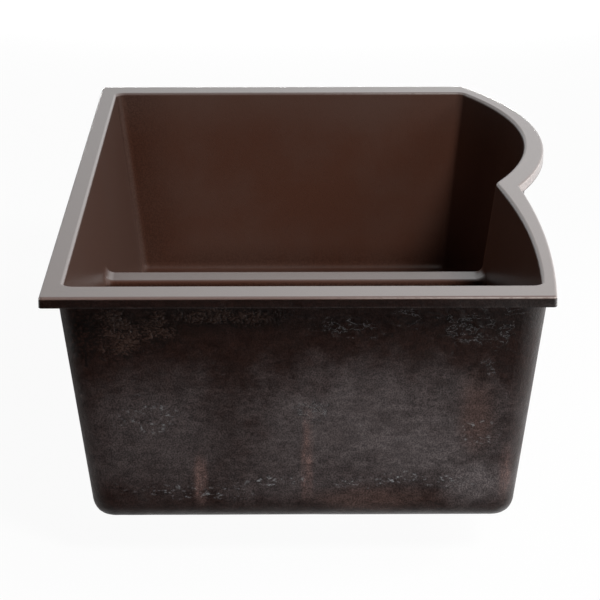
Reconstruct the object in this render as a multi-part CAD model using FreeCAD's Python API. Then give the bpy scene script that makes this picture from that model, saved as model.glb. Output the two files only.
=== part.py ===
import FreeCAD, Part
import math
import os

# Double bowl kitchen sink: a basin cast in one piece, with a basket strainer in the floor of each bowl.
# Millimetres. X runs along the sink: the large bowl is at -X and the small bowl at +X. +Y is the back,
# where each bowl bulges out in a lobe, and Z is up. The rim's top face is z = 0, and the origin is the
# middle of the rim's outline box.

# Overall sizes of the basin
LENGTH = 860.0
DEPTH = 492.0
HEIGHT = 225.0

# Rim: its thickness, its width along each side of the opening, and its edges
RIM_T = 10.0
END_RIM = 35.0
FRONT_RIM = 18.5
LARGE_BACK_RIM = 19.5
SMALL_BACK_RIM = 14.5
RIM_CORNER_R = 3.5
RIM_NOTCH_R = 4.0
RIM_OUTER_EDGE_R = 2.5
RIM_INNER_EDGE_R = 3.5

# Low divider between the bowls, hollow on its underside
DIVIDER_X = 37.0
DIVIDER_W = 33.0
DIVIDER_DROP = 96.0
DIVIDER_EDGE_R = 4.0
DIVIDER_WALL = 8.0
DIVIDER_TOP_T = 10.0
HOLLOW_FLAT = 5.0

# Back lobes: each arc of the rim stands furthest back this far from the divider. The opening's arc is
# shifted along the sink and tighter by these amounts.
LARGE_LOBE_OFFSET = 204.0
LARGE_LOBE_R = 545.0
LARGE_OPENING_SHIFT = -10.0
LARGE_OPENING_TIGHTER = 52.0
SMALL_LOBE_OFFSET = 188.0
SMALL_LOBE_R = 2177.0
SMALL_OPENING_SHIFT = 39.0
SMALL_OPENING_TIGHTER = 520.0
SMALL_LOBE_SETBACK = 35.0

# Walls and floor of the bowls. The front and the lobes lean by one angle, the ends and divider by another.
WALL = 8.0
WALL_LEAN_DEG = 7.5
END_LEAN_DEG = 5.0
FLOOR_T = 17.0
FLOOR_FALL = 3.0
DISH_MARGIN = 20.0
CORNER_R = 10.0
FLOOR_R_STEP = 1.0
CUSP_R = 28.0
TUB_CORNER_R = 22.0
TUB_EDGE_R_STEP = 2.0

# Drain: the hole in each floor and the strainer that is clamped in it
DRAIN_Y = 0.0
DRAIN_GAP = 2.0
RECESS_GAP = 2.0
FLANGE_W = 13.5
FLANGE_T = 2.0
FLANGE_SINK = 0.5
CUP_D = 86.0
CUP_DEPTH = 44.0
CUP_WALL = 1.5
LIP_RISE = 4.0
CUP_FOOT_R = 5.0
OUTLET_D = 47.0
OUTLET_L = 15.0
OUTLET_WALL = 1.8
SPIDER_SPOKES = 4
SPIDER_W = 3.0
SPIDER_T = 3.0
SPIDER_DROP = 3.5
HUB_WALL = 2.0

# Seals and nut that clamp the strainer
SEAL_INSET = 2.0
GASKET_T = 1.5
WASHER_T = 3.0
FRICTION_RING_T = 1.0
NUT_H = 12.0
NUT_WALL = 7.0
NUT_LUGS = 6
LUG_W = 16.0
LUG_L = 6.0
LUG_H = 7.0
THREAD_GAP = 0.15

# Basket: a perforated cup that turns on a post, over a rubber stopper
BASKET_GAP = 3.5
BASKET_SINK = 6.0
BASKET_TAPER = 4.0
BASKET_T = 1.0
BASKET_LIP = 2.0
BASKET_FOOT_EDGE_R = 4.0
WALL_HOLE_D = 4.5
WALL_HOLE_PITCH = 11.5
WALL_HOLE_ROWS = 2
FLOOR_HOLE_D = 5.0
FLOOR_HOLE_PITCH = 10.0
FLOOR_HOLE_RINGS = 2
STEM_R = 3.0
BEARING_STEP = 1.0
BEARING_GAP = 0.08
TURN_GAP = 0.3
COLLAR_STEP = 3.0
COLLAR_T = 1.5
KNOB_R = 9.0
KNOB_H = 9.0
KNOB_NECK_STEP = 1.5
KNOB_EDGE_R = 2.5
KNOB_RISE = 1.0
STOPPER_LAP = 6.0
STOPPER_T = 5.0
STOPPER_EDGE_R = 1.5
SEAT_GAP = 0.1
FIT_GAP = 0.05
RETAINER_STEP = 11.0
RETAINER_T = 1.5
CLIP_STEP = 1.6
CLIP_T = 1.0
CLIP_GROOVE = 0.7
CLIP_OPENING_DEG = 70.0
CLIP_GAP = 0.4
TIP_BELOW_CLIP = 1.5

# A cutter reaches this far past what it cuts
PAST = 5.0
# Two points nearer than this are the same
SAME = 1e-3

UP = FreeCAD.Vector(0, 0, 1)
ORIGIN = FreeCAD.Vector(0, 0, 0)

# Worked out for the bowls
WALL_LEAN = math.tan(math.radians(WALL_LEAN_DEG))
END_LEAN = math.tan(math.radians(END_LEAN_DEG))
LARGE_LOBE_X = DIVIDER_X - LARGE_LOBE_OFFSET
SMALL_LOBE_X = DIVIDER_X + SMALL_LOBE_OFFSET
BOWL_DEPTH = HEIGHT - FLOOR_T
FLOOR_R = CORNER_R - FLOOR_R_STEP
TUB_EDGE_R = TUB_CORNER_R - TUB_EDGE_R_STEP

# Worked out for the strainers, from the recess down to the outlet
CUP_R = CUP_D / 2
CUP_BORE_R = CUP_R - CUP_WALL
FLANGE_R = CUP_R + FLANGE_W
HOLE_R = CUP_R + DRAIN_GAP
SEAL_R = FLANGE_R - SEAL_INSET
THREAD_R = CUP_R + THREAD_GAP
SEAT_Z = -BOWL_DEPTH - FLOOR_FALL - GASKET_T - FLANGE_T - FLANGE_SINK
FLANGE_BOTTOM = SEAT_Z + GASKET_T
FLANGE_TOP = FLANGE_BOTTOM + FLANGE_T
CUP_FLOOR = FLANGE_TOP - CUP_DEPTH
CUP_FOOT = CUP_FLOOR - CUP_WALL
OUTLET_R = OUTLET_D / 2
OUTLET_BORE_R = OUTLET_R - OUTLET_WALL
SPIDER_BOTTOM = CUP_FOOT - SPIDER_DROP - SPIDER_T
RING_TOP = -HEIGHT - WASHER_T
NUT_TOP = RING_TOP - FRICTION_RING_T
NUT_BOTTOM = NUT_TOP - NUT_H

# Worked out for the basket, from the stopper's seat upwards and then down to the clip
STOPPER_BOTTOM = CUP_FLOOR + SEAT_GAP
STOPPER_TOP = STOPPER_BOTTOM + STOPPER_T
STOPPER_R = OUTLET_BORE_R + STOPPER_LAP
BASKET_BOTTOM = STOPPER_TOP + TURN_GAP
BASKET_TOP = FLANGE_TOP - BASKET_SINK
BASKET_TOP_R = CUP_BORE_R - BASKET_GAP - BASKET_LIP
BASKET_FOOT_R = BASKET_TOP_R - BASKET_TAPER
BEARING_R = STEM_R + BEARING_STEP
COLLAR_R = BEARING_R + COLLAR_STEP
COLLAR_BOTTOM = BASKET_BOTTOM + BASKET_T + TURN_GAP
CLIP_R = STEM_R + CLIP_STEP
CLIP_BOTTOM = SPIDER_BOTTOM + (SPIDER_T - CLIP_T) / 2


class Outline:
    """The sink's plan shape at one level: a straight front, two straight ends and two lobes at the back."""

    def __init__(self, front, end, large, small):
        """front is the front's distance from the origin, end each end's, and a lobe is (x, back, radius)."""
        self.front = front
        self.end = end
        self.large = large
        self.small = small

    def grown(self, by, end_by):
        """The outline with its front and lobes moved outwards by one amount and its ends by another."""
        lobes = [(x, back + by, radius + by) for x, back, radius in (self.large, self.small)]
        return Outline(self.front + by, self.end + end_by, *lobes)

    def wire(self, z, corner_r, cusp_r):
        """The closed wire at height z, with rounded corners and a rounded cusp between the lobes."""
        large_c, large_r = lobe_centre(self.large)
        small_c, small_r = lobe_centre(self.small)
        front_r = FreeCAD.Vector(self.end - corner_r, -self.front + corner_r, 0)
        front_l = FreeCAD.Vector(-self.end + corner_r, -self.front + corner_r, 0)
        back_r = corner_at(self.end - corner_r, small_c, small_r - corner_r)
        back_l = corner_at(-self.end + corner_r, large_c, large_r - corner_r)
        cusp = circles_meet(large_c, large_r + cusp_r, small_c, small_r + cusp_r)
        points = [
            front_l + FreeCAD.Vector(0, -corner_r, 0),
            front_r + FreeCAD.Vector(0, -corner_r, 0),
            front_r + FreeCAD.Vector(corner_r, 0, 0),
            back_r + FreeCAD.Vector(corner_r, 0, 0),
            towards(small_c, back_r, small_r),
            towards(small_c, cusp, small_r),
            towards(large_c, cusp, large_r),
            towards(large_c, back_l, large_r),
            back_l + FreeCAD.Vector(-corner_r, 0, 0),
            front_l + FreeCAD.Vector(-corner_r, 0, 0),
        ]
        centres = [None, front_r, None, back_r, small_c, cusp, large_c, back_l, None, front_l]
        edges = []
        for i, centre in enumerate(centres):
            edges.append(side(points[i], points[(i + 1) % len(points)], centre))
        wire = Part.Wire(edges)
        wire.translate(UP * z)
        return wire


def lobe_centre(lobe):
    """The centre and radius of a lobe's arc, from where it stands furthest back."""
    x, back, radius = lobe
    return FreeCAD.Vector(x, back - radius, 0), radius


def towards(start, goal, length):
    """The point at this distance from start on the line to goal."""
    return start + (goal - start).normalize() * length


def corner_at(x, centre, radius):
    """The point of a circle's back half at this x."""
    return FreeCAD.Vector(x, centre.y + math.sqrt(radius**2 - (x - centre.x) ** 2), 0)


def circles_meet(c1, r1, c2, r2):
    """The point furthest back where two circles meet."""
    between = c2 - c1
    gap = between.Length
    along = (gap**2 + r1**2 - r2**2) / (2 * gap)
    across = math.sqrt(r1**2 - along**2)
    foot = towards(c1, c2, along)
    normal = UP.cross(between).normalize() * across
    return max(foot + normal, foot - normal, key=lambda p: p.y)


def side(start, end, centre):
    """A straight edge, or an arc of under a half circle about a centre."""
    if centre is None:
        return Part.LineSegment(start, end).toShape()
    middle = towards(centre, (start + end) * 0.5, (start - centre).Length)
    return Part.Arc(start, middle, end).toShape()


RIM_OUTLINE = Outline(
    DEPTH / 2,
    LENGTH / 2,
    (LARGE_LOBE_X, DEPTH / 2, LARGE_LOBE_R),
    (SMALL_LOBE_X, DEPTH / 2 - SMALL_LOBE_SETBACK, SMALL_LOBE_R),
)
OPENING = Outline(
    DEPTH / 2 - FRONT_RIM,
    LENGTH / 2 - END_RIM,
    (
        LARGE_LOBE_X + LARGE_OPENING_SHIFT,
        DEPTH / 2 - LARGE_BACK_RIM,
        LARGE_LOBE_R - LARGE_OPENING_TIGHTER,
    ),
    (
        SMALL_LOBE_X + SMALL_OPENING_SHIFT,
        DEPTH / 2 - SMALL_LOBE_SETBACK - SMALL_BACK_RIM,
        SMALL_LOBE_R - SMALL_OPENING_TIGHTER,
    ),
)
BOWL_FLOOR = OPENING.grown(-BOWL_DEPTH * WALL_LEAN, -BOWL_DEPTH * END_LEAN)
DIVIDER_FOOT_W = DIVIDER_W + 2 * (BOWL_DEPTH - DIVIDER_DROP) * END_LEAN


def drafted(outline, top, bottom, corner_r, cusp_r):
    """A solid from z = top down to z = bottom whose sides lean in. The outline is the one at z = 0."""
    wires = []
    for z in (top, bottom):
        wires.append(outline.grown(z * WALL_LEAN, z * END_LEAN).wire(z, corner_r, cusp_r))
    return Part.makeLoft(wires, True, True)


def ridge(half_width, drop, bottom, edge_r):
    """A bar along Y at the divider, with leaning sides and a top whose long edges are rounded."""
    foot = half_width + (-drop - bottom) * END_LEAN
    profile = [(-half_width, -drop), (half_width, -drop), (foot, bottom), (-foot, bottom)]
    points = [FreeCAD.Vector(DIVIDER_X + x, -DEPTH, z) for x, z in profile]
    bar = Part.Face(Part.makePolygon(points + points[:1])).extrude(FreeCAD.Vector(0, 2 * DEPTH, 0))
    top_edges = [e for e in bar.Edges if is_level(e, -drop) and abs(e.CenterOfMass.y) < SAME]
    return bar.makeFillet(edge_r, top_edges)


def is_level(edge, z):
    """Does the whole edge lie at this height?"""
    return abs(edge.BoundBox.ZMin - z) < SAME and abs(edge.BoundBox.ZMax - z) < SAME


def middle_of(edge):
    """A vertex halfway along an edge."""
    return Part.Vertex(edge.valueAt((edge.FirstParameter + edge.LastParameter) / 2))


def joint_edges(solid, bar, walls):
    """The edges of a solid where the bar's faces meet the walls."""
    sides = Part.Compound(bar.Faces)
    found = []
    for edge in solid.Edges:
        vertex = middle_of(edge)
        if vertex.distToShape(sides)[0] < SAME and vertex.distToShape(walls)[0] < SAME:
            found.append(edge)
    return found


def side_faces(solid):
    """The faces of a drafted solid apart from its flat top and bottom."""
    return Part.Compound([f for f in solid.Faces if f.BoundBox.ZLength > SAME])


def bowls():
    """The hollow of both bowls, joined above the divider."""
    whole = drafted(OPENING, PAST, -BOWL_DEPTH, CORNER_R, CUSP_R)
    divider = ridge(DIVIDER_W / 2, DIVIDER_DROP, -BOWL_DEPTH - PAST, DIVIDER_EDGE_R)
    hollow = whole.cut(divider)
    hollow = hollow.makeFillet(CORNER_R, joint_edges(hollow, divider, side_faces(whole)))
    return hollow.makeFillet(FLOOR_R, [e for e in hollow.Edges if is_level(e, -BOWL_DEPTH)])


def tubs():
    """The outside of both bowls, with the hollow under the divider between them."""
    whole = drafted(OPENING.grown(WALL, WALL), -RIM_T / 2, -HEIGHT, TUB_CORNER_R, CUSP_R - WALL)
    half_width = DIVIDER_W / 2 + DIVIDER_TOP_T * END_LEAN - DIVIDER_WALL
    hollow = ridge(half_width, DIVIDER_DROP + DIVIDER_TOP_T, -HEIGHT - PAST, half_width - HOLLOW_FLAT / 2)
    tub = whole.cut(hollow)
    tub = tub.makeFillet(TUB_CORNER_R, joint_edges(tub, hollow, side_faces(whole)))
    return tub.makeFillet(TUB_EDGE_R, [e for e in tub.Edges if is_level(e, -HEIGHT)])


def turned(profile, degrees=360):
    """A solid turned about Z from (radius, z) points."""
    points = [FreeCAD.Vector(r, 0, z) for r, z in profile]
    return Part.Face(Part.makePolygon(points + points[:1])).revolve(ORIGIN, UP, degrees)


def ring(inner_r, outer_r, bottom, thickness, degrees=360):
    """A flat ring, whole or split."""
    top = bottom + thickness
    return turned([(inner_r, bottom), (outer_r, bottom), (outer_r, top), (inner_r, top)], degrees)


def circles_at(solid, radius, z):
    """The round edges of a turned solid with this radius at this height."""
    return [e for e in solid.Edges if is_level(e, z) and abs(e.BoundBox.XMax - radius) < SAME]


def around(shape, count, first=0.0):
    """Copies of a shape, evenly spaced about Z."""
    copies = []
    for i in range(count):
        copy = shape.copy()
        copy.rotate(ORIGIN, UP, first + 360 * i / count)
        copies.append(copy)
    return copies


def fitting(radius, pitch):
    """How many copies fit round a circle at about this pitch."""
    return int(2 * math.pi * radius / pitch)


def drain_xs():
    """The x of the large bowl's drain and of the small bowl's, each halfway along its floor."""
    large = (-BOWL_FLOOR.end + DIVIDER_X - DIVIDER_FOOT_W / 2) / 2
    small = (BOWL_FLOOR.end + DIVIDER_X + DIVIDER_FOOT_W / 2) / 2
    return large, small


def dish_radius():
    """The radius of the shallow dish round each drain, which keeps clear of the nearest wall."""
    to_ends = [BOWL_FLOOR.end - abs(x) for x in drain_xs()]
    return min(to_ends + [BOWL_FLOOR.front + DRAIN_Y]) - FLOOR_R - DISH_MARGIN


def drain_cutter():
    """What is cut from a floor for one drain: the dish, the flange's recess and the hole."""
    recess_r = FLANGE_R + RECESS_GAP
    dish_r = dish_radius()
    above = -BOWL_DEPTH + FLOOR_FALL
    below = -HEIGHT - PAST
    return turned(
        [
            (0, above),
            (dish_r, above),
            (dish_r, -BOWL_DEPTH),
            (recess_r, -BOWL_DEPTH - FLOOR_FALL),
            (recess_r, SEAT_Z),
            (HOLE_R, SEAT_Z),
            (HOLE_R, below),
            (0, below),
        ]
    )


def rim_edges(solid):
    """The edges of the rim's top face: those round the opening, and those round the outside."""
    top = max((f for f in solid.Faces if f.BoundBox.ZMin > -SAME), key=lambda f: f.Area)
    outer = top.OuterWire
    inner = [w for w in top.Wires if not w.isSame(outer)]
    return [e for w in inner for e in w.Edges], outer.Edges


def sink_body():
    """The cast basin: rim, tubs, divider and drain holes in one piece."""
    rim = Part.Face(RIM_OUTLINE.wire(-RIM_T, RIM_CORNER_R, RIM_NOTCH_R)).extrude(UP * RIM_T)
    body = rim.fuse(tubs()).cut(bowls()).removeSplitter()
    body = body.makeFillet(RIM_INNER_EDGE_R, rim_edges(body)[0])
    body = body.makeFillet(RIM_OUTER_EDGE_R, rim_edges(body)[1])
    for x in drain_xs():
        cutter = drain_cutter()
        cutter.translate(FreeCAD.Vector(x, DRAIN_Y, 0))
        body = body.cut(cutter)
    return body


def strainer_body():
    """The steel cup with its flange, and the hole in its foot for the outlet."""
    cup = turned(
        [
            (FLANGE_R, FLANGE_BOTTOM),
            (FLANGE_R, FLANGE_TOP - FLANGE_T / 2),
            (FLANGE_R - FLANGE_T, FLANGE_TOP),
            (CUP_BORE_R + LIP_RISE, FLANGE_TOP),
            (CUP_BORE_R, FLANGE_TOP - LIP_RISE),
            (CUP_BORE_R, CUP_FLOOR),
            (OUTLET_BORE_R, CUP_FLOOR),
            (OUTLET_BORE_R, CUP_FOOT),
            (CUP_R, CUP_FOOT),
            (CUP_R, FLANGE_BOTTOM),
        ]
    )
    cup = cup.makeFillet(CUP_FOOT_R, circles_at(cup, CUP_R, CUP_FOOT))
    cup = cup.makeFillet(CUP_FOOT_R - CUP_WALL, circles_at(cup, CUP_BORE_R, CUP_FLOOR))
    return cup.makeFillet(LIP_RISE / 2, circles_at(cup, CUP_BORE_R + LIP_RISE, FLANGE_TOP))


def strainer_outlet():
    """The short tube welded under the cup's foot, which the tailpiece's nut screws on."""
    return ring(OUTLET_BORE_R, OUTLET_R, CUP_FOOT - OUTLET_L, OUTLET_L)


def strainer_spider():
    """The cross welded in the outlet, whose hub guides the basket's post."""
    hub_r = CLIP_R + CLIP_GAP
    hub = ring(hub_r, hub_r + HUB_WALL, SPIDER_BOTTOM, SPIDER_T)
    spoke_start = hub_r + HUB_WALL / 2
    spoke = Part.makeBox(OUTLET_R - spoke_start, SPIDER_W, SPIDER_T)
    spoke.translate(FreeCAD.Vector(spoke_start, -SPIDER_W / 2, SPIDER_BOTTOM))
    bore = Part.makeCylinder(OUTLET_BORE_R, SPIDER_T, FreeCAD.Vector(0, 0, SPIDER_BOTTOM))
    return hub.fuse(around(spoke, SPIDER_SPOKES)).common(bore).removeSplitter()


def flange_gasket():
    """The thin seal between the strainer's flange and the recess."""
    return ring(HOLE_R, SEAL_R, SEAT_Z, GASKET_T)


def sink_washer():
    """The rubber washer against the sink's underside."""
    return ring(THREAD_R, SEAL_R, RING_TOP, WASHER_T)


def friction_ring():
    """The slip ring between the washer and the nut."""
    return ring(THREAD_R, SEAL_R, NUT_TOP, FRICTION_RING_T)


def lock_nut():
    """The nut that clamps the strainer, with lugs for a spanner."""
    lug = Part.makeBox(NUT_WALL / 2 + LUG_L, LUG_W, LUG_H)
    lug.translate(FreeCAD.Vector(THREAD_R + NUT_WALL / 2, -LUG_W / 2, NUT_BOTTOM))
    body = ring(THREAD_R, THREAD_R + NUT_WALL, NUT_BOTTOM, NUT_H)
    return body.fuse(around(lug, NUT_LUGS)).removeSplitter()


def basket_holes():
    """The drills for the basket's wall, row above row, and for its floor, ring round ring."""
    holes = []
    height = BASKET_TOP - BASKET_BOTTOM
    count = fitting(BASKET_FOOT_R, WALL_HOLE_PITCH)
    for row in range(WALL_HOLE_ROWS):
        level = BASKET_BOTTOM + height * (row + 1) / (WALL_HOLE_ROWS + 1)
        start = FreeCAD.Vector(BASKET_FOOT_R - PAST, 0, level)
        drill = Part.makeCylinder(WALL_HOLE_D / 2, BASKET_TAPER + 2 * PAST, start, FreeCAD.Vector(1, 0, 0))
        holes += around(drill, count, row * 180 / count)
    band = BASKET_FOOT_R - BASKET_FOOT_EDGE_R - COLLAR_R
    for i in range(FLOOR_HOLE_RINGS):
        radius = COLLAR_R + band * (i + 1) / (FLOOR_HOLE_RINGS + 1)
        start = FreeCAD.Vector(radius, 0, BASKET_BOTTOM - PAST)
        drill = Part.makeCylinder(FLOOR_HOLE_D / 2, BASKET_T + 2 * PAST, start)
        holes += around(drill, fitting(radius, FLOOR_HOLE_PITCH))
    return holes


def basket_cup():
    """The perforated cup that catches the scraps."""
    bore_r = BEARING_R + BEARING_GAP
    floor = BASKET_BOTTOM + BASKET_T
    inner_foot_r = BASKET_FOOT_R - BASKET_T
    cup = turned(
        [
            (bore_r, BASKET_BOTTOM),
            (BASKET_FOOT_R, BASKET_BOTTOM),
            (BASKET_TOP_R, BASKET_TOP - BASKET_T),
            (BASKET_TOP_R + BASKET_LIP, BASKET_TOP - BASKET_T),
            (BASKET_TOP_R + BASKET_LIP, BASKET_TOP),
            (BASKET_TOP_R - BASKET_T, BASKET_TOP),
            (inner_foot_r, floor),
            (bore_r, floor),
        ]
    )
    cup = cup.makeFillet(BASKET_FOOT_EDGE_R, circles_at(cup, BASKET_FOOT_R, BASKET_BOTTOM))
    cup = cup.makeFillet(BASKET_FOOT_EDGE_R - BASKET_T, circles_at(cup, inner_foot_r, floor))
    return cup.cut(basket_holes())


def basket_post():
    """The post: a knob to lift it by, the collar and bearing for the cup, and the tip for the clip."""
    knob_top = BASKET_TOP + KNOB_RISE
    knob_foot = knob_top - KNOB_H
    groove_r = STEM_R - CLIP_GROOVE
    groove_top = CLIP_BOTTOM + CLIP_T + FIT_GAP
    post = turned(
        [
            (0, knob_top),
            (KNOB_R, knob_top),
            (KNOB_R, knob_top - KNOB_H / 2),
            (STEM_R + KNOB_NECK_STEP, knob_foot),
            (STEM_R, knob_foot),
            (STEM_R, COLLAR_BOTTOM + COLLAR_T),
            (COLLAR_R, COLLAR_BOTTOM + COLLAR_T),
            (COLLAR_R, COLLAR_BOTTOM),
            (BEARING_R, COLLAR_BOTTOM),
            (BEARING_R, STOPPER_TOP),
            (STEM_R, STOPPER_TOP),
            (STEM_R, groove_top),
            (groove_r, groove_top),
            (groove_r, CLIP_BOTTOM),
            (STEM_R, CLIP_BOTTOM),
            (STEM_R, CLIP_BOTTOM - TIP_BELOW_CLIP / 2),
            (groove_r, CLIP_BOTTOM - TIP_BELOW_CLIP),
            (0, CLIP_BOTTOM - TIP_BELOW_CLIP),
        ]
    )
    return post.makeFillet(KNOB_EDGE_R, circles_at(post, KNOB_R, knob_top))


def basket_stopper():
    """The rubber disc that closes the outlet."""
    stopper = ring(STEM_R + FIT_GAP, STOPPER_R, STOPPER_BOTTOM, STOPPER_T)
    return stopper.makeFillet(STOPPER_EDGE_R, circles_at(stopper, STOPPER_R, STOPPER_TOP))


def stopper_retainer():
    """The washer that holds the stopper up on the post."""
    return ring(STEM_R + FIT_GAP, STEM_R + RETAINER_STEP, STOPPER_BOTTOM - RETAINER_T, RETAINER_T)


def spring_clip():
    """The split ring that steadies the post's tip in the spider's hub."""
    return ring(STEM_R - CLIP_GROOVE + FIT_GAP, CLIP_R, CLIP_BOTTOM, CLIP_T, 360 - CLIP_OPENING_DEG)


STRAINER_PIECES = (
    strainer_body,
    strainer_outlet,
    strainer_spider,
    flange_gasket,
    sink_washer,
    friction_ring,
    lock_nut,
    basket_cup,
    basket_post,
    basket_stopper,
    stopper_retainer,
    spring_clip,
)

os.makedirs("parts", exist_ok=True)
sink_body().exportStep("parts/sink_body.step")
for bowl, drain_x in zip(("large", "small"), drain_xs()):
    for piece in STRAINER_PIECES:
        solid = piece()
        solid.translate(FreeCAD.Vector(drain_x, DRAIN_Y, 0))
        solid.exportStep(f"parts/{bowl}_{piece.__name__}.step")
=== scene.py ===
"""Looks of a double bowl kitchen sink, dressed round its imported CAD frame.

Metres. X runs along the sink towards the small bowl, +Y is the lobed back and Z is up.
The rim's top face is z = 0.
"""
import logging
import math
from dataclasses import dataclass
from enum import Enum
from typing import Any

import bpy
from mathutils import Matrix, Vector, noise


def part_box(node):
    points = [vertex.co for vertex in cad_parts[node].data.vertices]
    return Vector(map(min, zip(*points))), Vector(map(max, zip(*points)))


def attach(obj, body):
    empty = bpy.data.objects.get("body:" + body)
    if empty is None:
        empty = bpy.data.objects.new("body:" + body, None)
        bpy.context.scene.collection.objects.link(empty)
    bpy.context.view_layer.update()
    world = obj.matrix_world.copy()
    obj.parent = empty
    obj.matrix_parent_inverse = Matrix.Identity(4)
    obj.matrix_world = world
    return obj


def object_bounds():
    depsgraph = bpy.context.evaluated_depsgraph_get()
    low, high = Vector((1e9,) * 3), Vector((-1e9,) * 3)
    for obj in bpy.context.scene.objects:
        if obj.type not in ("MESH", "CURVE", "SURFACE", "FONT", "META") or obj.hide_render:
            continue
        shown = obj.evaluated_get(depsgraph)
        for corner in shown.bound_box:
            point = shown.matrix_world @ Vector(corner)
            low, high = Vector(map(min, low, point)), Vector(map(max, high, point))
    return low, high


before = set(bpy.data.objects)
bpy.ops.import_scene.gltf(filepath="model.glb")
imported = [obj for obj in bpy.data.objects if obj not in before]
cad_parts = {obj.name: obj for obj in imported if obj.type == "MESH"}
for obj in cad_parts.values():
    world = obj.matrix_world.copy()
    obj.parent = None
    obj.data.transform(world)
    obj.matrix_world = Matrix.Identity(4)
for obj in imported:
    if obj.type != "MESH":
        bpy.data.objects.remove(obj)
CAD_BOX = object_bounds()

log = logging.getLogger("sink")

Socket = bpy.types.NodeSocket
Outputs = bpy.types.bpy_prop_collection
Tree = bpy.types.NodeTree
Material = bpy.types.Material
Number = float | Socket
Colour = tuple[float, float, float]
Point = tuple[float, float, float]
# A range is low and high. A span is low and high, and what they become.
Range = tuple[float, float]
Span = tuple[float, float, float, float]

EVEN: Point = (1.0, 1.0, 1.0)
WHITE: Colour = (1.0, 1.0, 1.0)
# Near black: dark quartz flecks and cracks, and painted shade in the cast wall's pits and hollows.
DARK_FLECK_AND_SHADE: Colour = (0.0035, 0.0025, 0.0022)
NOISE_MIDDLE = 0.5
SMOOTH_ANGLE = math.radians(40.0)


class Bowl(Enum):
    """The two bowls, by the first word of their strainers' node names."""

    LARGE = "large"
    SMALL = "small"


class Body(Enum):
    """The CAD body that a new piece rides on."""

    SINK = "sink"


class Wiring:
    """Adds shader nodes to one tree and links them as it goes."""

    def __init__(self, tree: Tree) -> None:
        """Keeps the tree."""
        self.tree = tree

    def plug(self, socket: Socket, value: Any) -> None:
        """Links a socket to another, or sets its own value.

        Args:
            socket: the input to fill.
            value: a socket, a number, a colour or a vector.
        """
        if isinstance(value, bpy.types.NodeSocket):
            self.tree.links.new(value, socket)
        elif socket.type == "RGBA":
            socket.default_value = (*value, 1.0)
        else:
            socket.default_value = value

    def add(self, kind: str, values: dict | None = None, **settings: Any) -> bpy.types.Node:
        """Adds a node.

        Args:
            kind: the node's type, without the word that all shader nodes start with.
            values: what goes into its inputs, by name or number.
            settings: the node's own properties.

        Returns:
            The new node.
        """
        node = self.tree.nodes.new("ShaderNode" + kind)
        for name, value in settings.items():
            setattr(node, name, value)
        for key, value in (values or {}).items():
            self.plug(node.inputs[key], value)
        return node

    def math(self, operation: str, *values: Number) -> Socket:
        """The result of a math node on one, two or three values."""
        return self.add("Math", dict(enumerate(values)), operation=operation).outputs[0]

    def most(self, *values: Number) -> Socket:
        """The largest of several values."""
        best = values[0]
        for value in values[1:]:
            best = self.math("MAXIMUM", best, value)
        return best

    def product(self, *values: Number) -> Socket:
        """Several values multiplied together."""
        total = values[0]
        for value in values[1:]:
            total = self.math("MULTIPLY", total, value)
        return total

    def blend(self, factor: Number, first: Any, second: Any, mode: str = "MIX") -> Socket:
        """A colour between two others.

        Args:
            factor: 0 for the first and 1 for the second.
            first: a colour or socket.
            second: a colour or socket.
            mode: how the second acts on the first.

        Returns:
            The mixed colour.
        """
        node = self.add("Mix", data_type="RGBA", blend_type=mode)
        for index, value in ((0, factor), (6, first), (7, second)):
            self.plug(node.inputs[index], value)
        return node.outputs[2]

    def between(self, factor: Number, first: Number, second: Number) -> Socket:
        """A value between two others, by a factor from 0 to 1."""
        node = self.add("Mix", {0: factor, 2: first, 3: second}, data_type="FLOAT")
        return node.outputs[0]

    def length(self, across: Socket, up: Socket) -> Socket:
        """The length of a flat vector, by its two parts."""
        squares = [self.product(part, part) for part in (across, up)]
        return self.math("SQRT", self.math("ADD", *squares))

    def span(
            self, value: Number, low: Number, high: Number, start: float = 0.0, end: float = 1.0) -> Socket:
        """Carries a value smoothly from one range to another and holds it at the ends.

        Args:
            value: what is carried.
            low: where the first range starts.
            high: where the first range ends.
            start: what low becomes.
            end: what high becomes.

        Returns:
            The carried value.
        """
        ends = {0: value, 1: low, 2: high, 3: start, 4: end}
        return self.add("MapRange", ends, interpolation_type="SMOOTHSTEP").outputs[0]

    def fade(self, value: Number, low: Number, high: Number, start: float = 1.0) -> Socket:
        """Carries a value smoothly from its start, at low, down to 0 at high."""
        return self.span(value, low, high, start, 0.0)

    def noise(self, place: Socket, scale: Number, detail: float, rough: float) -> Socket:
        """Soft cloudy noise from 0 to 1.

        Args:
            place: the coordinates it is read at.
            scale: features in a metre.
            detail: how many finer layers are added.
            rough: how strong the finer layers are.

        Returns:
            The noise value.
        """
        inputs = {"Vector": place, "Scale": scale, "Detail": detail, "Roughness": rough}
        return self.add("TexNoise", inputs).outputs[0]

    def cells(self, place: Socket, scale: Number) -> bpy.types.Node:
        """A cellular texture, for its distance and its colour by cell."""
        return self.add("TexVoronoi", {"Vector": place, "Scale": scale})

    def parts(self, vector: Socket) -> tuple[Socket, Socket, Socket]:
        """The X, Y and Z of a vector."""
        node = self.add("SeparateXYZ", {0: vector})
        return node.outputs[0], node.outputs[1], node.outputs[2]

    def stretched(self, place: Socket, scale: Point) -> Socket:
        """Coordinates stretched by a factor along each axis."""
        return self.add("Mapping", {"Vector": place, "Scale": scale}).outputs[0]

    def bump(self, height: Socket, distance: float, strength: float) -> Socket:
        """The normal of a surface with this relief.

        Args:
            height: relief from 0 to 1.
            distance: how far, in metres, a height of 1 stands out.
            strength: how much of it shows.

        Returns:
            The bumped normal.
        """
        inputs = {"Height": height, "Distance": distance, "Strength": strength}
        return self.add("Bump", inputs).outputs[0]


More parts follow.
